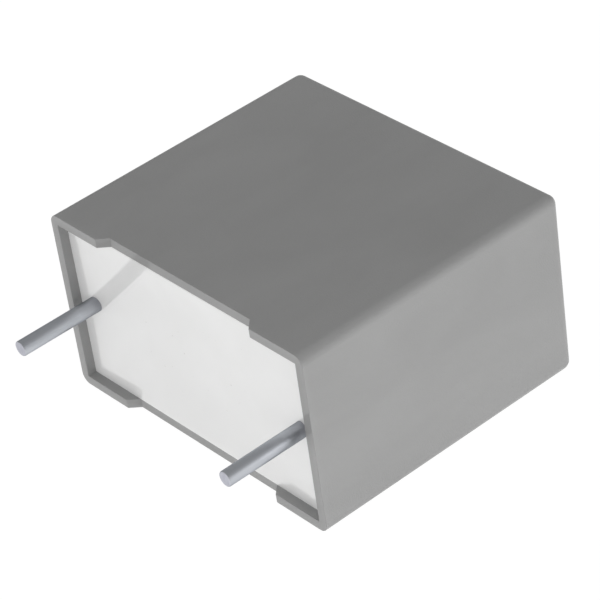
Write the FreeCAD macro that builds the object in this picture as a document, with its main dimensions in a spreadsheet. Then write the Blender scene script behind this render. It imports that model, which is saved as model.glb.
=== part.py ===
"""Box film capacitor: a moulded case potted with resin, with two straight wire leads.

Millimetres. The capacitor lies on one of its two large sides, as it comes to rest when loose.
X runs along the row of leads, Y from the leads (-Y) to the closed end of the case (+Y), and
Z is up, across the thickness of the case. The origin is where the axis of the left lead
crosses the plane of the stand-off feet, the plane that the circuit board touches.
"""
import FreeCAD, Part
import math
import os
import Sketcher

# Sizes that can be set by themselves: alias, value and what it measures
DRIVING_SIZES = (
    ("lead_pitch", "15.0", "between the axes of the two leads"),
    ("lead_diameter", "0.8", "round wire"),
    ("lead_reach", "4.0", "from the feet to the cut end of the wire"),
    ("lead_round_depth", "0.18", "round wire below the edge of the resin's open face"),
    ("lead_flat_thickness", "0.4", "wire pressed flat where it lies on the element"),
    ("lead_flat_length", "8.0", "length of the flat on the element"),
    ("case_overhang", "1.5", "from a lead axis to the outside of the end wall"),
    ("case_thickness", "10.0", "outside"),
    ("case_height", "16.0", "outside, from the feet to the closed end"),
    ("case_wall", "0.5", "side and end walls"),
    ("closed_end_wall", "0.5", "wall opposite the leads"),
    ("edge_radius", "0.5", "outer edges of the case"),
    ("foot_height", "0.5", "from the recessed rim to the feet"),
    ("foot_length", "3.5", "from the end of the case along a long wall"),
    ("foot_slope", "45.0", "degrees between a foot's flank and the recessed rim"),
    ("resin_cover", "1.2", "from the edge of the resin's open face to the element"),
    ("resin_dish", "0.5", "how far the open face sinks in its middle, as the resin shrank"),
    ("resin_side_gap", "0.6", "resin between the element and each long wall"),
    ("resin_end_gap", "0.5", "resin between the element and the closed end"),
    ("spray_thickness", "0.4", "sprayed metal on each end of the roll"),
    ("spray_margin", "0.25", "bare edge of the roll around the sprayed metal"),
)

# Sizes and places that follow from them
DERIVED_SIZES = (
    ("case_length", "=lead_pitch + 2 * case_overhang", "outside"),
    ("case_middle", "=lead_pitch / 2", "X of the middle plane"),
    ("inside_length", "=case_length - 2 * case_wall", "between the end walls"),
    ("inside_thickness", "=case_thickness - 2 * case_wall", "between the long walls"),
    ("inside_depth", "=case_height - closed_end_wall", "from the feet to the closed end"),
    ("recess_length", "=case_length - 2 * foot_length", "between the feet, at their tips"),
    ("resin_depth", "=inside_depth - foot_height", "at the walls, level with the recessed rim"),
    ("element_low", "=foot_height + resin_cover", "Y of the edge nearest the leads"),
    ("element_high", "=inside_depth - resin_end_gap", "Y of the edge nearest the closed end"),
    ("roll_height", "=element_high - element_low", "long way across the oval roll"),
    ("roll_thickness", "=inside_thickness - 2 * resin_side_gap", "short way across the roll"),
    ("roll_middle", "=(element_low + element_high) / 2", "Y of the roll's axis"),
    ("spray_height", "=roll_height - 2 * spray_margin", "long way across the sprayed metal"),
    ("spray_across", "=roll_thickness - 2 * spray_margin", "short way across the sprayed metal"),
    ("left_spray_start", "=lead_flat_thickness / 2", "X of the face that the left flat lies on"),
    ("roll_start", "=left_spray_start + spray_thickness", "X of the roll's left end"),
    ("film_width", "=lead_pitch - 2 * roll_start", "length of the roll between the sprays"),
    ("right_spray_start", "=roll_start + film_width", "X of the roll's right end"),
    ("round_end", "=foot_height + lead_round_depth", "Y where the round wire ends"),
    ("round_length", "=lead_reach + round_end", "length of the round wire"),
    # pressing keeps the section's area, and an oblong is a rectangle less its round corners
    (
        "lead_flat_width",
        "=pi * lead_diameter ^ 2 / 4 / lead_flat_thickness + (1 - pi / 4) * lead_flat_thickness",
        "across the flat",
    ),
)

# How a constraint counts the points of a line or an arc, and a sketch's own two axes
NO_POINT, START, END, CENTRE = range(4)
LEVEL_AXIS, UPRIGHT_AXIS = range(-1, -3, -1)
ORIGIN_POINT = (LEVEL_AXIS, START)
ON_PLANE = 1e-6
# A sketch is drawn about this size, before its dimensions give it the real one
FIRST_DRAWN = 2.0
QUARTER_TURN = math.pi / 2


def make_sizes(doc):
    """The sheet that drives every sketch, feature and placement."""
    sheet = doc.addObject("Spreadsheet::Sheet", "Sizes")
    for row, (alias, value, meaning) in enumerate(DRIVING_SIZES + DERIVED_SIZES, start=1):
        sheet.set(f"A{row}", alias)
        sheet.set(f"B{row}", value)
        sheet.set(f"C{row}", meaning)
        sheet.setAlias(f"B{row}", alias)
    doc.recompute()
    return sheet


def bind(item, **expressions):
    """Tie properties of an object to the sheet; a double underscore stands for a dot."""
    for name, expression in expressions.items():
        item.setExpression(name.replace("__", "."), expression)


def new_body(doc, label):
    body = doc.addObject("PartDesign::Body", label)
    body.Label = label
    return body


def new_sketch(body, plane_role, name):
    """An empty sketch on one of the body's own origin planes."""
    plane = next(item for item in body.Origin.OriginFeatures if item.Role == plane_role)
    sketch = body.newObject("Sketcher::SketchObject", name)
    sketch.AttachmentSupport = [(plane, "")]
    sketch.MapMode = "FlatFace"
    return sketch


def name_size(sketch, name, expression, constraint):
    """Add a dimension to a sketch and tie it to the sheet."""
    index = sketch.addConstraint(constraint)
    sketch.renameConstraint(index, name)
    sketch.setExpression(f"Constraints.{name}", expression)


def join_ends(sketch, order, kind="Coincident"):
    """Join each piece of an outline to the next one, end to start."""
    for here, there in zip(order, order[1:] + order[:1]):
        sketch.addConstraint(Sketcher.Constraint(kind, here, END, there, START))


def draw_rectangle(sketch, width, height):
    """A rectangle centred on the sketch's origin."""
    half = FIRST_DRAWN / 2
    corners = [FreeCAD.Vector(x * half, y * half, 0) for x, y in ((-1, -1), (1, -1), (1, 1), (-1, 1))]
    sides = [
        sketch.addGeometry(Part.LineSegment(start, end), False)
        for start, end in zip(corners, corners[1:] + corners[:1])
    ]
    join_ends(sketch, sides)
    for side in sides[0::2]:
        sketch.addConstraint(Sketcher.Constraint("Horizontal", side))
    for side in sides[1::2]:
        sketch.addConstraint(Sketcher.Constraint("Vertical", side))
    opposite = (sides[0], START, sides[2], START)
    sketch.addConstraint(Sketcher.Constraint("Symmetric", *opposite, *ORIGIN_POINT))
    width_of = Sketcher.Constraint("DistanceX", sides[0], START, sides[0], END, FIRST_DRAWN)
    height_of = Sketcher.Constraint("DistanceY", sides[1], START, sides[1], END, FIRST_DRAWN)
    name_size(sketch, "width", width, width_of)
    name_size(sketch, "height", height, height_of)


def draw_oblong(sketch, length, thickness, upright):
    """Two straight sides and two half-round ends, centred on the sketch's origin.

    The straight sides run along the sketch's first axis, or along its second if upright.
    """
    radius = FIRST_DRAWN / 2
    reach = FIRST_DRAWN
    heading = QUARTER_TURN if upright else 0.0
    turn = FreeCAD.Rotation(FreeCAD.Vector(0, 0, 1), math.degrees(heading))

    def side(start, end):
        ends = [turn.multVec(FreeCAD.Vector(*point, 0)) for point in (start, end)]
        return sketch.addGeometry(Part.LineSegment(*ends), False)

    def half_round(middle, start):
        centre = turn.multVec(FreeCAD.Vector(middle, 0, 0))
        circle = Part.Circle(centre, FreeCAD.Vector(0, 0, 1), radius)
        angles = (heading + start, heading + start + 2 * QUARTER_TURN)
        return sketch.addGeometry(Part.ArcOfCircle(circle, *angles), False)

    near_side = side((-reach, -radius), (reach, -radius))
    far_end = half_round(reach, -QUARTER_TURN)
    far_side = side((reach, radius), (-reach, radius))
    near_end = half_round(-reach, QUARTER_TURN)
    join_ends(sketch, [near_side, far_end, far_side, near_end], "Tangent")
    sketch.addConstraint(Sketcher.Constraint("Equal", near_end, far_end))
    sketch.addConstraint(Sketcher.Constraint("Vertical" if upright else "Horizontal", near_side))
    centres = (near_end, CENTRE, far_end, CENTRE)
    sketch.addConstraint(Sketcher.Constraint("Symmetric", *centres, *ORIGIN_POINT))
    end_radius = Sketcher.Constraint("Radius", far_end, radius)
    spacing = Sketcher.Constraint("DistanceY" if upright else "DistanceX", *centres, 2 * reach)
    name_size(sketch, "end_radius", f"({thickness}) / 2", end_radius)
    name_size(sketch, "spacing", f"({length}) - ({thickness})", spacing)


def draw_quartered_circle(sketch, radius):
    """A circle of four equal arcs, so that each meets one side or one end of an oblong."""
    circle = Part.Circle(FreeCAD.Vector(0, 0, 0), FreeCAD.Vector(0, 0, 1), 1.0)
    arcs = [
        sketch.addGeometry(
            Part.ArcOfCircle(circle, middle - QUARTER_TURN / 2, middle + QUARTER_TURN / 2), False
        )
        for middle in (0, QUARTER_TURN, 2 * QUARTER_TURN, 3 * QUARTER_TURN)
    ]
    right, top, left, bottom = arcs
    for arc in (right, top, left):
        sketch.addConstraint(Sketcher.Constraint("Coincident", arc, CENTRE, *ORIGIN_POINT))
    join_ends(sketch, arcs)
    sketch.addConstraint(Sketcher.Constraint("Equal", right, bottom))
    sketch.addConstraint(Sketcher.Constraint("Vertical", right, START, right, END))
    sketch.addConstraint(Sketcher.Constraint("Horizontal", top, START, top, END))
    sketch.addConstraint(Sketcher.Constraint("Vertical", left, START, left, END))
    name_size(sketch, "radius", radius, Sketcher.Constraint("Radius", right, 1.0))
    corner = Sketcher.Constraint("DistanceX", *ORIGIN_POINT, right, END, 0.7)
    name_size(sketch, "corner", f"({radius}) * cos(45 deg)", corner)


def draw_recess(sketch):
    """The stretch of rim between the feet: a trapezoid that narrows away from the board."""
    rough = FIRST_DRAWN
    outline = ((-2 * rough, 0), (2 * rough, 0), (rough, rough), (-rough, rough))
    corners = [FreeCAD.Vector(x, y, 0) for x, y in outline]
    sides = [
        sketch.addGeometry(Part.LineSegment(start, end), False)
        for start, end in zip(corners, corners[1:] + corners[:1])
    ]
    join_ends(sketch, sides)
    board_line, _, floor, left_flank = sides
    sketch.addConstraint(Sketcher.Constraint("Horizontal", board_line))
    tips = (board_line, START, board_line, END)
    sketch.addConstraint(Sketcher.Constraint("Symmetric", *tips, *ORIGIN_POINT))
    sketch.addConstraint(
        Sketcher.Constraint("Symmetric", floor, START, floor, END, UPRIGHT_AXIS, NO_POINT)
    )
    length = Sketcher.Constraint("DistanceX", *tips, 4 * rough)
    rise = Sketcher.Constraint("DistanceY", board_line, END, floor, START, rough)
    slope = Sketcher.Constraint("Angle", board_line, START, left_flank, END, QUARTER_TURN / 2)
    name_size(sketch, "length", "Sizes.recess_length", length)
    name_size(sketch, "rise", "Sizes.foot_height", rise)
    name_size(sketch, "slope", "Sizes.foot_slope * 1 deg", slope)


def add_pad(body, sketch, name, length, away=False):
    """Extend a sketch along its normal, or the other way if away."""
    pad = body.newObject("PartDesign::Pad", name)
    pad.Profile = sketch
    pad.Reversed = away
    bind(pad, Length=length)
    return pad


def add_pocket(body, sketch, name, length, both_ways=False):
    """Cut a sketch into the body, and make sure that it takes material away."""
    before = body.Shape.Volume
    pocket = body.newObject("PartDesign::Pocket", name)
    pocket.Profile = sketch
    pocket.SideType = "Symmetric" if both_ways else "One side"
    bind(pocket, Length=length)
    body.Document.recompute()
    if pocket.Shape.Volume >= before:
        raise RuntimeError(f"{name} cuts nothing")
    return pocket


def edges_off_the_rim(shape):
    """Names of the edges that don't lie in the plane of the open rim."""
    return [
        f"Edge{number}"
        for number, edge in enumerate(shape.Edges, start=1)
        if max(abs(vertex.Y) for vertex in edge.Vertexes) > ON_PLANE
    ]


def make_case(doc):
    """One thin-walled moulding, open towards the leads, with four stand-off feet on its rim."""
    body = new_body(doc, "case")
    outline = new_sketch(body, "XZ_Plane", "case_outline")
    draw_rectangle(outline, "Sizes.case_length", "Sizes.case_thickness")
    block = add_pad(body, outline, "case_block", "Sizes.case_height", away=True)
    doc.recompute()

    rounding = body.newObject("PartDesign::Fillet", "outer_rounding")
    rounding.Base = (block, edges_off_the_rim(block.Shape))
    bind(rounding, Radius="Sizes.edge_radius")
    doc.recompute()

    opening = new_sketch(body, "XZ_Plane", "case_opening")
    draw_rectangle(opening, "Sizes.inside_length", "Sizes.inside_thickness")
    add_pocket(body, opening, "case_inside", "Sizes.inside_depth")

    recess = new_sketch(body, "XY_Plane", "foot_recess")
    draw_recess(recess)
    add_pocket(body, recess, "space_between_feet", "Sizes.case_thickness", both_ways=True)
    bind(body, Placement__Base__x="Sizes.case_middle")
    return body


def make_roll(doc):
    """Metallised film wound and pressed into a flat oval roll; its axis runs along X."""
    body = new_body(doc, "film_winding")
    section = new_sketch(body, "YZ_Plane", "roll_section")
    draw_oblong(section, "Sizes.roll_height", "Sizes.roll_thickness", upright=False)
    add_pad(body, section, "roll", "Sizes.film_width")
    bind(body, Placement__Base__x="Sizes.roll_start", Placement__Base__y="Sizes.roll_middle")
    return body


def make_spray(doc, label, start):
    """Metal sprayed on one end of the roll, which joins all its turns."""
    body = new_body(doc, label)
    section = new_sketch(body, "YZ_Plane", f"{label}_section")
    draw_oblong(section, "Sizes.spray_height", "Sizes.spray_across", upright=False)
    add_pad(body, section, f"{label}_layer", "Sizes.spray_thickness")
    bind(body, Placement__Base__x=start, Placement__Base__y="Sizes.roll_middle")
    return body


def make_lead(doc, label, across):
    """A wire that leaves the resin round and straight, and is pressed flat on the element."""
    body = new_body(doc, label)

    wire_section = new_sketch(body, "XZ_Plane", f"{label}_wire")
    bind(wire_section, AttachmentOffset__Base__z="Sizes.lead_reach")
    circle = Part.Circle(FreeCAD.Vector(0, 0, 0), FreeCAD.Vector(0, 0, 1), 1.0)
    wire = wire_section.addGeometry(circle, False)
    wire_section.addConstraint(Sketcher.Constraint("Coincident", wire, CENTRE, *ORIGIN_POINT))
    radius = Sketcher.Constraint("Radius", wire, 1.0)
    name_size(wire_section, "radius", "Sizes.lead_diameter / 2", radius)
    add_pad(body, wire_section, f"{label}_round", "Sizes.round_length", away=True)

    shoulder_start = new_sketch(body, "XZ_Plane", f"{label}_shoulder_start")
    bind(shoulder_start, AttachmentOffset__Base__z="-Sizes.round_end")
    draw_quartered_circle(shoulder_start, "Sizes.lead_diameter / 2")

    flat_section = new_sketch(body, "XZ_Plane", f"{label}_flat_section")
    bind(flat_section, AttachmentOffset__Base__z="-Sizes.element_low")
    draw_oblong(flat_section, "Sizes.lead_flat_width", "Sizes.lead_flat_thickness", upright=True)
    doc.recompute()

    shoulder = body.newObject("PartDesign::AdditiveLoft", f"{label}_shoulder")
    shoulder.Profile = shoulder_start
    shoulder.Sections = [flat_section]
    shoulder.Ruled = True
    doc.recompute()

    add_pad(body, flat_section, f"{label}_flat", "Sizes.lead_flat_length", away=True)
    bind(body, Placement__Base__x=across)
    return body


def dished_block(length, depth, thickness, dish):
    """A block whose -Y face is dished, with straight edges; they lie on Y = 0, about the origin.

    Only the middle one of the face's nine poles is off its plane. A quarter of the way that
    the pole is off shows as the depth of the dish.
    """
    across = (-length / 2, 0.0, length / 2)
    upward = (-thickness / 2, 0.0, thickness / 2)
    surface = Part.BezierSurface()
    surface.increase(2, 2)
    for row, x in enumerate(across, start=1):
        for column, z in enumerate(upward, start=1):
            surface.setPole(row, column, FreeCAD.Vector(x, 0, z))
    surface.setPole(2, 2, FreeCAD.Vector(0, 4 * dish, 0))

    corners = [(across[i], upward[k]) for i, k in ((0, 0), (2, 0), (2, 2), (0, 2))]
    rim = [FreeCAD.Vector(x, 0, z) for x, z in corners]
    bottom = [FreeCAD.Vector(x, depth, z) for x, z in corners]
    outlines = [bottom]
    for here in range(4):
        there = (here + 1) % 4
        outlines.append([rim[here], rim[there], bottom[there], bottom[here]])
    flat_faces = [Part.Face(Part.makePolygon([*outline, outline[0]])) for outline in outlines]
    shell = Part.makeShell([surface.toShape(), *flat_faces])
    shell.sewShape()
    return Part.makeSolid(shell)


def make_resin(doc, sheet, embedded):
    """Resin that fills the case around everything in it, level with the rim along the walls."""
    sizes = ("inside_length", "resin_depth", "inside_thickness", "resin_dish")
    fill = doc.addObject("Part::Feature", "resin_fill")
    fill.Shape = dished_block(*(sheet.get(alias) for alias in sizes))
    bind(fill, Placement__Base__x="Sizes.case_middle", Placement__Base__y="Sizes.foot_height")
    hollow = doc.addObject("Part::MultiFuse", "resin_hollow")
    hollow.Shapes = embedded
    resin = doc.addObject("Part::Cut", "potting_resin")
    resin.Label = "potting_resin"
    resin.Base = fill
    resin.Tool = hollow
    return resin


def check_and_write(doc, pieces):
    """Stop at anything that failed, then write one file for each piece."""
    doc.recompute()
    failed = [item.Name for item in doc.Objects if {"Invalid", "Error"} & set(item.State)]
    if failed:
        raise RuntimeError(f"these did not compute: {failed}")
    sketches = [item for item in doc.Objects if item.TypeId == "Sketcher::SketchObject"]
    loose = [sketch.Name for sketch in sketches if not sketch.FullyConstrained]
    if loose:
        raise RuntimeError(f"these sketches can still move: {loose}")
    for piece in pieces:
        shape = piece.Shape
        if shape.isNull() or not shape.isValid() or len(shape.Solids) != 1:
            raise RuntimeError(f"{piece.Label} is not one sound solid")
    os.makedirs("parts", exist_ok=True)
    for piece in pieces:
        piece.Shape.exportStep(f"parts/{piece.Label}.step")
        print(f"{piece.Label}: {piece.Shape.Volume:.2f} cubic mm")


def main():
    doc = FreeCAD.newDocument("box_film_capacitor")
    sheet = make_sizes(doc)
    case = make_case(doc)
    roll = make_roll(doc)
    sprays = [
        make_spray(doc, "end_spray_left", "Sizes.left_spray_start"),
        make_spray(doc, "end_spray_right", "Sizes.right_spray_start"),
    ]
    leads = [
        make_lead(doc, "lead_left", "0"),
        make_lead(doc, "lead_right", "Sizes.lead_pitch"),
    ]
    resin = make_resin(doc, sheet, [roll, *sprays, *leads])
    check_and_write(doc, [case, resin, roll, *sprays, *leads])


main()
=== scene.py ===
"""A box film capacitor lying on its large side: finishes, floor, studio light and camera.

Lengths are written in millimetres and turned to metres by `metres` where Blender takes them.
X runs along the row of leads, Y from the leads to the closed end, Z up through the thickness.
"""

from math import cos, pi, radians, sin

import bpy
from mathutils import Matrix, Vector


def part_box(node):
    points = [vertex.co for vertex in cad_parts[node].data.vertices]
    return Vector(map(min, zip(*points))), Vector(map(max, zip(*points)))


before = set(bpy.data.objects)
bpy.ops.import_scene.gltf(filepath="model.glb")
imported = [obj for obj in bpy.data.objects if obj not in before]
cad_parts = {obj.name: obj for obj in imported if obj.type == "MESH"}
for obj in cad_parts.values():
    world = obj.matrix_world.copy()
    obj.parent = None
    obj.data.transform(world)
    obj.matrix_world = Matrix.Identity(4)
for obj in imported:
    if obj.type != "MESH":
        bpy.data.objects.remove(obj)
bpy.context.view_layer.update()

MM_PER_METRE = 1000.0


def metres(millimetres):
    """Turns a length or a point in millimetres into metres."""
    if isinstance(millimetres, (int, float)):
        return millimetres / MM_PER_METRE
    return Vector(millimetres) / MM_PER_METRE


def corners_of(node):
    """The lowest and the highest corner of a CAD node, in millimetres."""
    low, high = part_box(node)
    return MM_PER_METRE * low, MM_PER_METRE * high


CASE_LOW, CASE_HIGH = corners_of("case")
WIRE_END = corners_of("lead_left")[0].y


# Node trees

# Where a Mix node keeps its factor, its two colours and the mixed colour
MIX_FACTOR = 0
MIX_FIRST = 6
MIX_SECOND = 7
MIX_RESULT = 2


def place(tree, kind, inputs=None, **settings):
    """Adds a node. `inputs` gives its sockets a value each, or the output that feeds them."""
    node = tree.nodes.new(kind)
    for name, value in settings.items():
        setattr(node, name, value)
    for name, value in (inputs or {}).items():
        if isinstance(value, bpy.types.NodeSocket):
            tree.links.new(value, node.inputs[name])
        else:
            node.inputs[name].default_value = value
    return node


def work_out(tree, operation, *numbers, clamp=False):
    """Puts numbers or outputs through a Math node and returns what comes out."""
    sockets = dict(enumerate(numbers))
    node = place(tree, "ShaderNodeMath", sockets, operation=operation, use_clamp=clamp)
    return node.outputs["Value"]


def sum_up(tree, start, *shares):
    """Adds to a start value each mask times its weight."""
    total = start
    for mask, weight in shares:
        total = work_out(tree, "MULTIPLY_ADD", mask, weight, total)
    return total


def spread(tree, value, low, high, new_low=0.0, new_high=1.0):
    """Stretches the range low..high of a value to new_low..new_high, and holds it there."""
    sockets = {"Value": value, "From Min": low, "From Max": high}
    sockets.update({"To Min": new_low, "To Max": new_high})
    return place(tree, "ShaderNodeMapRange", sockets).outputs["Result"]


def tint(tree, amount, first, second):
    """Goes from the first colour to the second as the amount goes from 0 to 1."""
    sockets = {MIX_FACTOR: amount, MIX_FIRST: first, MIX_SECOND: second}
    return place(tree, "ShaderNodeMix", sockets, data_type="RGBA").outputs[MIX_RESULT]


def lay_over(tree, base, mask, share, colour):
    """Lays a colour over a base colour where the mask is 1, as strongly as its share says."""
    return tint(tree, work_out(tree, "MULTIPLY", mask, share), base, colour)


def combine(tree, operation, first, second):
    """Puts two vectors through a Vector Math node and returns the vector that comes out."""
    node = place(tree, "ShaderNodeVectorMath", {0: first, 1: second}, operation=operation)
    return node.outputs["Vector"]


def stretch(tree, position, factors):
    """Scales a position by its own factor along each axis."""
    return combine(tree, "MULTIPLY", position, factors)


def noise(tree, position, scale, detail=2.0, roughness=0.5, distortion=0.0):
    """Cloudy noise with about `scale` patches to the millimetre."""
    sockets = {"Vector": position, "Scale": scale, "Detail": detail}
    sockets.update({"Roughness": roughness, "Distortion": distortion})
    return place(tree, "ShaderNodeTexNoise", sockets).outputs["Fac"]


def new_group(name, inputs, outputs):
    """Starts a shader node group and returns it with what it takes in and what it gives out."""
    group = bpy.data.node_groups.new(name, "ShaderNodeTree")
    for label, kind, value in inputs:
        socket = group.interface.new_socket(label, in_out="INPUT", socket_type="NodeSocket" + kind)
        if value is not None:
            socket.default_value = value
    for label, kind in outputs:
        group.interface.new_socket(label, in_out="OUTPUT", socket_type="NodeSocket" + kind)
    taken = group.nodes.new("NodeGroupInput").outputs
    given = group.nodes.new("NodeGroupOutput").inputs
    return group, taken, given


# Effects that several finishes share


def make_fine_grain():
    """The tiny hills of a moulded or cast skin: a coarse grain with a finer one on it."""
    times_finer = 2.7
    group, taken, given = new_group(
        "fine_grain",
        [("Position", "Vector", None), ("Grain Size", "Float", 0.1), ("Finer Share", "Float", 0.35)],
        [("Height", "Float"), ("Tone", "Float")],
    )
    coarse_scale = work_out(group, "DIVIDE", 1.0, taken["Grain Size"])
    fine_scale = work_out(group, "MULTIPLY", coarse_scale, times_finer)
    coarse = noise(group, taken["Position"], coarse_scale, detail=1.0)
    fine = noise(group, taken["Position"], fine_scale, detail=1.0)
    height = work_out(group, "ADD", coarse, work_out(group, "MULTIPLY", fine, taken["Finer Share"]))
    group.links.new(height, given["Height"])
    group.links.new(spread(group, height, low=0.4, high=0.95), given["Tone"])
    return group


def make_soft_mottling():
    """Wide faint patches, as where a material cooled, set or tarnished unevenly."""
    group, taken, given = new_group(
        "soft_mottling",
        [
            ("Position", "Vector", None),
            ("Patch Size", "Float", 4.0),
            ("Colour", "Color", None),
            ("Patch Colour", "Color", None),
        ],
        [("Colour", "Color"), ("Mask", "Float")],
    )
    scale = work_out(group, "DIVIDE", 1.0, taken["Patch Size"])
    cloud = noise(group, taken["Position"], scale, detail=3.0, roughness=0.55, distortion=0.4)
    mask = spread(group, cloud, low=0.32, high=0.68)
    group.links.new(mask, given["Mask"])
    group.links.new(tint(group, mask, taken["Colour"], taken["Patch Colour"]), given["Colour"])
    return group


def make_specks():
    """Small round specks strewn over a surface. A share of the places for one are filled."""
    smallest_reach = 0.005
    group, taken, given = new_group(
        "specks",
        [
            ("Position", "Vector", None),
            ("Spacing", "Float", 1.0),
            ("Speck Size", "Float", 0.1),
            ("Share", "Float", 0.4),
        ],
        [("Mask", "Float")],
    )
    scale = work_out(group, "DIVIDE", 1.0, taken["Spacing"])
    cells = place(group, "ShaderNodeTexVoronoi", {"Vector": taken["Position"], "Scale": scale})
    away = work_out(group, "MULTIPLY", cells.outputs["Distance"], taken["Spacing"])
    lot = place(group, "ShaderNodeSeparateColor", {"Color": cells.outputs["Color"]})
    chosen = work_out(group, "LESS_THAN", lot.outputs["Red"], taken["Share"])
    across = work_out(group, "MULTIPLY", lot.outputs["Green"], taken["Speck Size"])
    reach = work_out(group, "MAXIMUM", work_out(group, "MULTIPLY", across, 0.5), smallest_reach)
    depth = work_out(group, "SUBTRACT", 1.0, work_out(group, "DIVIDE", away, reach), clamp=True)
    group.links.new(work_out(group, "MULTIPLY", depth, chosen), given["Mask"])
    return group


def make_rubbed_edges():
    """How near a place is to an edge of a box, broken up, as handling smooths edges first."""
    ragged_patch = 0.7
    fading = 1.5
    group, taken, given = new_group(
        "rubbed_edges",
        [
            ("Position", "Vector", None),
            ("Low Corner", "Vector", None),
            ("High Corner", "Vector", None),
            ("Width", "Float", 0.5),
        ],
        [("Mask", "Float")],
    )
    from_low = combine(group, "SUBTRACT", taken["Position"], taken["Low Corner"])
    from_high = combine(group, "SUBTRACT", taken["High Corner"], taken["Position"])
    depth = combine(group, "MINIMUM", from_low, from_high)
    x, y, z = place(group, "ShaderNodeSeparateXYZ", {"Vector": depth}).outputs
    # The middle one of the three depths is how far the nearest edge is
    less = work_out(group, "MINIMUM", x, y)
    more = work_out(group, "MAXIMUM", x, y)
    middle = work_out(group, "MAXIMUM", less, work_out(group, "MINIMUM", more, z))
    cloud = noise(group, taken["Position"], 1 / ragged_patch, detail=3.0)
    ragged = spread(group, cloud, low=0.3, high=0.7, new_low=0.6, new_high=1.3)
    reach = work_out(group, "MULTIPLY", taken["Width"], ragged)
    near = work_out(group, "SUBTRACT", 1.0, work_out(group, "DIVIDE", middle, reach), clamp=True)
    group.links.new(work_out(group, "POWER", near, fading), given["Mask"])
    return group


def make_drawn_lines():
    """Fine lines along Y, as a drawing die or a roller leaves them."""
    group, taken, given = new_group(
        "drawn_lines",
        [("Position", "Vector", None), ("Line Width", "Float", 0.03), ("Line Length", "Float", 6.0)],
        [("Height", "Float"), ("Mask", "Float")],
    )
    across = work_out(group, "DIVIDE", 1.0, taken["Line Width"])
    along = work_out(group, "DIVIDE", 1.0, taken["Line Length"])
    factors = place(group, "ShaderNodeCombineXYZ", {"X": across, "Y": along, "Z": across})
    drawn_out = stretch(group, taken["Position"], factors.outputs["Vector"])
    lines = noise(group, drawn_out, scale=1.0, roughness=0.6)
    group.links.new(lines, given["Height"])
    group.links.new(spread(group, lines, low=0.35, high=0.65), given["Mask"])
    return group


EFFECTS = {
    group.name: group
    for group in (
        make_fine_grain(),
        make_soft_mottling(),
        make_specks(),
        make_rubbed_edges(),
        make_drawn_lines(),
    )
}


def effect(tree, name, **inputs):
    """Places one of the shared effects; an input's words are joined by underscores."""
    sockets = {words.replace("_", " ").title(): value for words, value in inputs.items()}
    return place(tree, "ShaderNodeGroup", sockets, node_tree=EFFECTS[name]).outputs


# Finishes


def start_finish(name, **values):
    """Starts a material: its node tree, its shader and the position on the part in millimetres."""
    material = bpy.data.materials.new(name)
    material.use_nodes = True
    tree = material.node_tree
    shader = tree.nodes["Principled BSDF"]
    for label, value in values.items():
        shader.inputs[label.replace("_", " ")].default_value = value
    here = place(tree, "ShaderNodeTexCoord").outputs["Object"]
    sockets = {"Vector": here, "Scale": MM_PER_METRE}
    position = place(tree, "ShaderNodeVectorMath", sockets, operation="SCALE").outputs["Vector"]
    return material, tree, shader, position


def roughen(tree, shader, base, *shares):
    """Feeds the shader's roughness: a base value, and each mask times its weight."""
    tree.links.new(sum_up(tree, base, *shares), shader.inputs["Roughness"])


def raise_skin(tree, shader, *layers):
    """Stacks bumps, each a height and its depth in millimetres, and feeds the shader's normal."""
    normal = None
    for height, depth in layers:
        sockets = {"Height": height, "Distance": metres(depth), "Strength": 1.0}
        if normal is not None:
            sockets["Normal"] = normal
        normal = place(tree, "ShaderNodeBump", sockets).outputs["Normal"]
    tree.links.new(normal, shader.inputs["Normal"])


def case_plastic():
    """Grey moulded polyester with a fine spark-eroded grain, a little smoother at the edges."""
    material, tree, shader, position = start_finish("case_plastic", Specular_IOR_Level=0.4)
    grain = effect(tree, "fine_grain", position=position, grain_size=0.085, finer_share=0.4)
    flow = effect(
        tree,
        "soft_mottling",
        position=stretch(tree, position, factors=(1.0, 0.45, 1.0)),
        patch_size=3.2,
        colour=(0.320, 0.320, 0.319, 1),
        patch_colour=(0.339, 0.339, 0.338, 1),
    )
    box = {"low_corner": CASE_LOW, "high_corner": CASE_HIGH}
    rubbed = effect(tree, "rubbed_edges", position=position, width=0.45, **box)["Mask"]
    dust = effect(tree, "specks", position=position, spacing=0.5, speck_size=0.09, share=0.35)["Mask"]
    worn = lay_over(tree, flow["Colour"], rubbed, share=0.35, colour=(0.36, 0.36, 0.36, 1))
    dusty = lay_over(tree, worn, dust, share=0.25, colour=(0.41, 0.405, 0.4, 1))
    tree.links.new(dusty, shader.inputs["Base Color"])
    roughen(tree, shader, 0.48, (grain["Tone"], 0.12), (flow["Mask"], -0.05), (rubbed, -0.14))
    raise_skin(tree, shader, (grain["Height"], 0.009), (flow["Mask"], 0.006))
    return material


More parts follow.
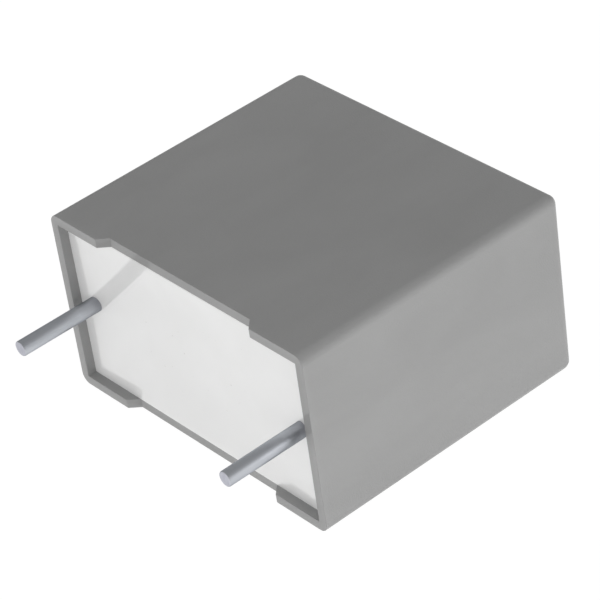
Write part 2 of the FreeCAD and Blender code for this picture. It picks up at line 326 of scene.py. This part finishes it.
def potting_resin():
    """Off-white filled resin, poured and set: faint waves, grey specks, and a few pinholes darkened with
    painted shade.
    """
    wave_length = 2.4
    material, tree, shader, position = start_finish("potting_resin", Specular_IOR_Level=0.45)
    pour = effect(
        tree,
        "soft_mottling",
        position=position,
        patch_size=3.5,
        colour=(0.862, 0.862, 0.859, 1),
        patch_colour=(0.842, 0.842, 0.838, 1),
    )
    filler = effect(tree, "fine_grain", position=position, grain_size=0.05, finer_share=0.3)
    pinholes = effect(tree, "specks", position=position, spacing=0.5, speck_size=0.12, share=0.4)["Mask"]
    specks = effect(tree, "specks", position=position, spacing=0.31, speck_size=0.08, share=0.4)["Mask"]
    speckled = lay_over(tree, pour["Colour"], specks, share=0.35, colour=(0.60, 0.60, 0.58, 1))
    # Painted shade: the pinholes are coloured darker for the shade inside them
    pits_shaded = lay_over(tree, speckled, pinholes, share=0.6, colour=(0.5, 0.5, 0.48, 1))
    tree.links.new(pits_shaded, shader.inputs["Base Color"])
    roughen(tree, shader, 0.42, (filler["Tone"], 0.1), (pour["Mask"], 0.06))
    waves = noise(tree, position, 1 / wave_length, detail=1.0)
    holes = work_out(tree, "SUBTRACT", 1.0, pinholes)
    raise_skin(tree, shader, (waves, 0.03), (filler["Height"], 0.003), (holes, 0.02))
    return material


def cut_end(tree, position):
    """1 on the sheared end faces of the leads, which are rougher and paler than their sides."""
    skin = 0.01
    y = place(tree, "ShaderNodeSeparateXYZ", {"Vector": position}).outputs["Y"]
    return work_out(tree, "LESS_THAN", y, WIRE_END + skin)


def painted_root_shade(tree, position):
    """1 at the roots of the leads, where the tin is darkened with painted shade; its edge is broken up
    by noise.
    """
    shade_ends, shade_is_full = -0.55, 0.45
    ragged_patch, ragged_by = 0.4, 0.12
    y = place(tree, "ShaderNodeSeparateXYZ", {"Vector": position}).outputs["Y"]
    cloud = noise(tree, position, 1 / ragged_patch)
    ragged = spread(tree, cloud, low=0.3, high=0.7, new_low=-ragged_by, new_high=ragged_by)
    return spread(tree, work_out(tree, "ADD", y, ragged), shade_ends, shade_is_full)


def tinned_wire():
    """Tin on drawn copper wire: fine lines, dull patches, sheared ends, and painted shade at the roots,
    which are also rougher.
    """
    tear_width = 0.12
    material, tree, shader, position = start_finish(
        "tinned_wire", Metallic=1.0, Specular_Tint=(0.35, 0.36, 0.38, 1)
    )
    lines = effect(tree, "drawn_lines", position=position, line_width=0.035, line_length=5.0)
    dull = effect(
        tree,
        "soft_mottling",
        position=stretch(tree, position, factors=(1.0, 0.5, 1.0)),
        patch_size=0.6,
        colour=(0.615, 0.641, 0.68, 1),
        patch_colour=(0.56, 0.585, 0.63, 1),
    )
    grain = effect(tree, "fine_grain", position=position, grain_size=0.04, finer_share=0.5)
    scratched = lay_over(tree, dull["Colour"], lines["Mask"], share=0.45, colour=(0.63, 0.65, 0.69, 1))
    root_shade_mask = painted_root_shade(tree, position)
    # Painted shade: the wire is darkened towards its roots, where it goes into the resin
    root_shaded = lay_over(tree, scratched, root_shade_mask, share=0.85, colour=(0.36, 0.37, 0.40, 1))
    cut = cut_end(tree, position)
    tears = noise(tree, stretch(tree, position, factors=(1.0, 1.0, 0.35)), 1 / tear_width)
    torn = spread(tree, tears, low=0.3, high=0.7)
    sheared = tint(tree, torn, first=(0.785, 0.795, 0.86, 1), second=(0.705, 0.71, 0.785, 1))
    tree.links.new(tint(tree, cut, root_shaded, sheared), shader.inputs["Base Color"])
    roughen(
        tree,
        shader,
        0.33,
        (dull["Mask"], 0.08),
        (lines["Mask"], -0.05),
        (grain["Tone"], 0.05),
        (root_shade_mask, 0.08),
        (cut, 0.15),
    )
    raise_skin(tree, shader, (lines["Height"], 0.0035), (grain["Height"], 0.0015))
    return material


def wound_rings(tree, position):
    """Rings round the flat core of the roll, one for every few turns of the film."""
    ring_spacing = 0.06
    low, high = corners_of("film_winding")
    middle = (low + high) / 2
    straight = (high.y - low.y - (high.z - low.z)) / 2
    split = place(tree, "ShaderNodeSeparateXYZ", {"Vector": position}).outputs
    past = work_out(tree, "ABSOLUTE", work_out(tree, "SUBTRACT", split["Y"], middle.y))
    past = work_out(tree, "MAXIMUM", work_out(tree, "SUBTRACT", past, straight), 0.0)
    rise = work_out(tree, "SUBTRACT", split["Z"], middle.z)
    squares = [work_out(tree, "POWER", side, 2.0) for side in (past, rise)]
    turn = work_out(tree, "SQRT", work_out(tree, "ADD", *squares))
    rings = work_out(tree, "SINE", work_out(tree, "MULTIPLY", turn, 2 * pi / ring_spacing))
    return spread(tree, rings, low=-1.0, high=1.0)


def metallised_film():
    """Wound film: the edges of its turns show as rings on the ends, and the skin is glossy."""
    wrinkle_width = 0.9
    material, tree, shader, position = start_finish(
        "metallised_film", Coat_Weight=0.3, Coat_Roughness=0.15
    )
    rings = wound_rings(tree, position)
    haze = effect(
        tree,
        "soft_mottling",
        position=position,
        patch_size=2.0,
        colour=(0.56, 0.57, 0.60, 1),
        patch_colour=(0.48, 0.49, 0.52, 1),
    )
    ringed = lay_over(tree, haze["Colour"], rings, share=0.35, colour=(0.34, 0.35, 0.38, 1))
    tree.links.new(ringed, shader.inputs["Base Color"])
    roughen(tree, shader, 0.22, (haze["Mask"], 0.12), (rings, 0.1))
    tree.links.new(sum_up(tree, 0.35, (haze["Mask"], 0.2)), shader.inputs["Metallic"])
    wrinkles = noise(tree, stretch(tree, position, factors=(0.3, 1.0, 1.0)), 1 / wrinkle_width)
    raise_skin(tree, shader, (wrinkles, 0.02), (rings, 0.003))
    return material


def sprayed_metal():
    """Zinc sprayed on the ends of the roll: a rough, grainy, dull grey crust, with painted shade in its
    pits.
    """
    material, tree, shader, position = start_finish("sprayed_metal", Metallic=0.85)
    grain = effect(tree, "fine_grain", position=position, grain_size=0.12, finer_share=0.6)
    tarnish = effect(
        tree,
        "soft_mottling",
        position=position,
        patch_size=1.2,
        colour=(0.46, 0.46, 0.47, 1),
        patch_colour=(0.36, 0.36, 0.38, 1),
    )
    pits = effect(tree, "specks", position=position, spacing=0.3, speck_size=0.14, share=0.6)["Mask"]
    # Painted shade: the pits are coloured darker for the shade inside them
    pits_shaded = lay_over(tree, tarnish["Colour"], pits, share=0.5, colour=(0.2, 0.2, 0.21, 1))
    tree.links.new(pits_shaded, shader.inputs["Base Color"])
    roughen(tree, shader, 0.55, (grain["Tone"], 0.2), (pits, 0.15))
    raise_skin(tree, shader, (grain["Height"], 0.03), (work_out(tree, "SUBTRACT", 1.0, pits), 0.03))
    return material


FINISHES = {
    "case": case_plastic(),
    "potting_resin": potting_resin(),
    "film_winding": metallised_film(),
    "end_spray_left": sprayed_metal(),
    "lead_left": tinned_wire(),
}
FINISHES["end_spray_right"] = FINISHES["end_spray_left"]
FINISHES["lead_right"] = FINISHES["lead_left"]

for node, finish in FINISHES.items():
    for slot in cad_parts[node].material_slots:
        slot.material = finish


# Fine edges, with widths in millimetres and angles in degrees

EDGE_WIDTHS = {"case": 0.025, "lead_left": 0.06, "lead_right": 0.06}
SAME_POINT = 0.0005
SAME_FACE = 0.2
SHARP_EDGE = 60


def soften_edges(node, width):
    """Takes the sharpness off the edges of a piece, as its mould or its shears left them."""
    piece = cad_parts[node]
    joined = piece.modifiers.new("joined", "WELD")
    joined.merge_threshold = metres(SAME_POINT)
    whole_faces = piece.modifiers.new("whole_faces", "DECIMATE")
    whole_faces.decimate_type = "DISSOLVE"
    whole_faces.angle_limit = radians(SAME_FACE)
    softened = piece.modifiers.new("softened", "BEVEL")
    softened.width = metres(width)
    softened.segments = 2
    softened.limit_method = "ANGLE"
    softened.angle_limit = radians(SHARP_EDGE)
    piece.modifiers.new("even_triangles", "TRIANGULATE").ngon_method = "BEAUTY"


for node, width in EDGE_WIDTHS.items():
    soften_edges(node, width)


# The floor, which the camera and mirrored rays see as its own glow and a little of the light on it

FLOOR_LEVEL = CASE_LOW.z
FLOOR_REACH = 900.0
PAPER_WHITE = 0.82
SHADOW_SHARE = 0.12
BACKGROUND_GLOW = 0.955
MIRRORED_GLOW = 0.84


def lay_floor():
    """White paper under the part, which shows nearly white and keeps a faint shadow.

    The paper casts no shadow, so the lamps that stand lower than it shine through.
    """
    mesh = bpy.data.meshes.new("floor")
    reach = metres(FLOOR_REACH)
    level = metres(FLOOR_LEVEL)
    corners = [(x * reach, y * reach, level) for x, y in ((-1, -1), (1, -1), (1, 1), (-1, 1))]
    mesh.from_pydata(corners, [], [(0, 1, 2, 3)])
    floor = bpy.data.objects.new("floor", mesh)
    bpy.context.scene.collection.objects.link(floor)
    floor.visible_shadow = False

    paper = bpy.data.materials.new("white_paper")
    paper.use_nodes = True
    tree = paper.node_tree
    tree.nodes.clear()
    path = place(tree, "ShaderNodeLightPath").outputs
    mirrored = work_out(tree, "MAXIMUM", path["Is Glossy Ray"], path["Is Transmission Ray"])
    seen = work_out(tree, "MAXIMUM", path["Is Camera Ray"], mirrored)
    paleness = spread(tree, seen, 0.0, 1.0, PAPER_WHITE, SHADOW_SHARE)
    matt = place(tree, "ShaderNodeBsdfDiffuse", {"Color": paleness})
    glow_level = spread(tree, mirrored, 0.0, 1.0, BACKGROUND_GLOW, MIRRORED_GLOW)
    strength = work_out(tree, "MULTIPLY", seen, glow_level)
    glow = place(tree, "ShaderNodeEmission", {"Strength": strength})
    both = place(tree, "ShaderNodeAddShader", {0: matt.outputs["BSDF"], 1: glow.outputs["Emission"]})
    place(tree, "ShaderNodeOutputMaterial", {"Surface": both.outputs["Shader"]})
    mesh.materials.append(paper)


# The light: a dome with one paler side, and five lamps

DOME_LEVEL = 0.345
PALE_SIDE_LEVEL = 1.5
PALE_SIDE = (0.86, 0.50, -0.05)
PALE_SIDE_TIGHTNESS = 6.0


def light_room():
    """A plain dome with a paler side, which the camera sees as white."""
    world = bpy.data.worlds.new("studio")
    bpy.context.scene.world = world
    world.use_nodes = True
    tree = world.node_tree
    tree.nodes.clear()
    way = place(tree, "ShaderNodeTexCoord").outputs["Generated"]
    pale_side = tuple(Vector(PALE_SIDE).normalized())
    facing = place(tree, "ShaderNodeVectorMath", {0: way, 1: pale_side}, operation="DOT_PRODUCT")
    facing = work_out(tree, "MAXIMUM", facing.outputs["Value"], 0.0)
    lobe = work_out(tree, "POWER", facing, PALE_SIDE_TIGHTNESS)
    dome = sum_up(tree, DOME_LEVEL, (lobe, PALE_SIDE_LEVEL - DOME_LEVEL))
    camera_ray = place(tree, "ShaderNodeLightPath").outputs["Is Camera Ray"]
    level = work_out(tree, "MAXIMUM", dome, camera_ray)
    sky = place(tree, "ShaderNodeBackground", {"Color": (1, 1, 1, 1), "Strength": level})
    place(tree, "ShaderNodeOutputWorld", {"Surface": sky.outputs["Background"]})


def hang_lamp(name, travels, level, softness):
    """A far lamp, not mirrored in gloss. Alone it makes white paper that faces it `level` bright.

    `travels` is the way its light goes, and `softness` how wide it is in the sky, in degrees.
    """
    lamp = bpy.data.lights.new(name, "SUN")
    lamp.energy = level * pi
    lamp.angle = radians(softness)
    holder = bpy.data.objects.new(name, lamp)
    holder.rotation_mode = "QUATERNION"
    holder.rotation_quaternion = Vector(travels).to_track_quat("-Z", "Y")
    holder.visible_glossy = False
    bpy.context.scene.collection.objects.link(holder)


lay_floor()
light_room()
hang_lamp("side_lamp", travels=(-0.86, -0.50, 0.75), level=0.54, softness=12)
hang_lamp("low_key_lamp", travels=(1.0, 0.90, 0.985), level=0.295, softness=1.5)
hang_lamp("low_fill_lamp", travels=(1.25, 1.0, 0.6), level=0.25, softness=40)
hang_lamp("front_lamp", travels=(-0.42, 0.86, 0.18), level=0.635, softness=100)
hang_lamp("overhead_lamp", travels=(0.0, -0.6, -1.0), level=0.137, softness=90)


# The camera, with lengths in millimetres and angles in degrees

EYE = (99.632, -61.480, 81.786)
AZIMUTH = 53.324
ELEVATION = 35.469
ROLL = -8.596
FOCAL_LENGTH = 178.483
SENSOR_WIDTH = 36.0
NEAREST_SEEN = 5
FARTHEST_SEEN = 5000


def set_camera():
    """Stands the camera where the photograph was taken from."""
    turn, lift, roll = (radians(angle) for angle in (AZIMUTH, ELEVATION, ROLL))
    back = Vector((sin(turn) * cos(lift), -cos(turn) * cos(lift), sin(lift)))
    right = Vector((cos(turn), sin(turn), 0))
    up = back.cross(right)
    across = right * cos(roll) + up * sin(roll)
    upward = up * cos(roll) - right * sin(roll)
    lens = bpy.data.cameras.new("camera")
    lens.sensor_width = SENSOR_WIDTH
    lens.lens = FOCAL_LENGTH
    lens.clip_start = metres(NEAREST_SEEN)
    lens.clip_end = metres(FARTHEST_SEEN)
    camera = bpy.data.objects.new("camera", lens)
    facing = Matrix((across, upward, back)).transposed()
    camera.matrix_world = Matrix.LocRotScale(metres(EYE), facing, None)
    bpy.context.scene.collection.objects.link(camera)
    bpy.context.scene.camera = camera


set_camera()
bpy.context.scene.view_settings.view_transform = "Standard"
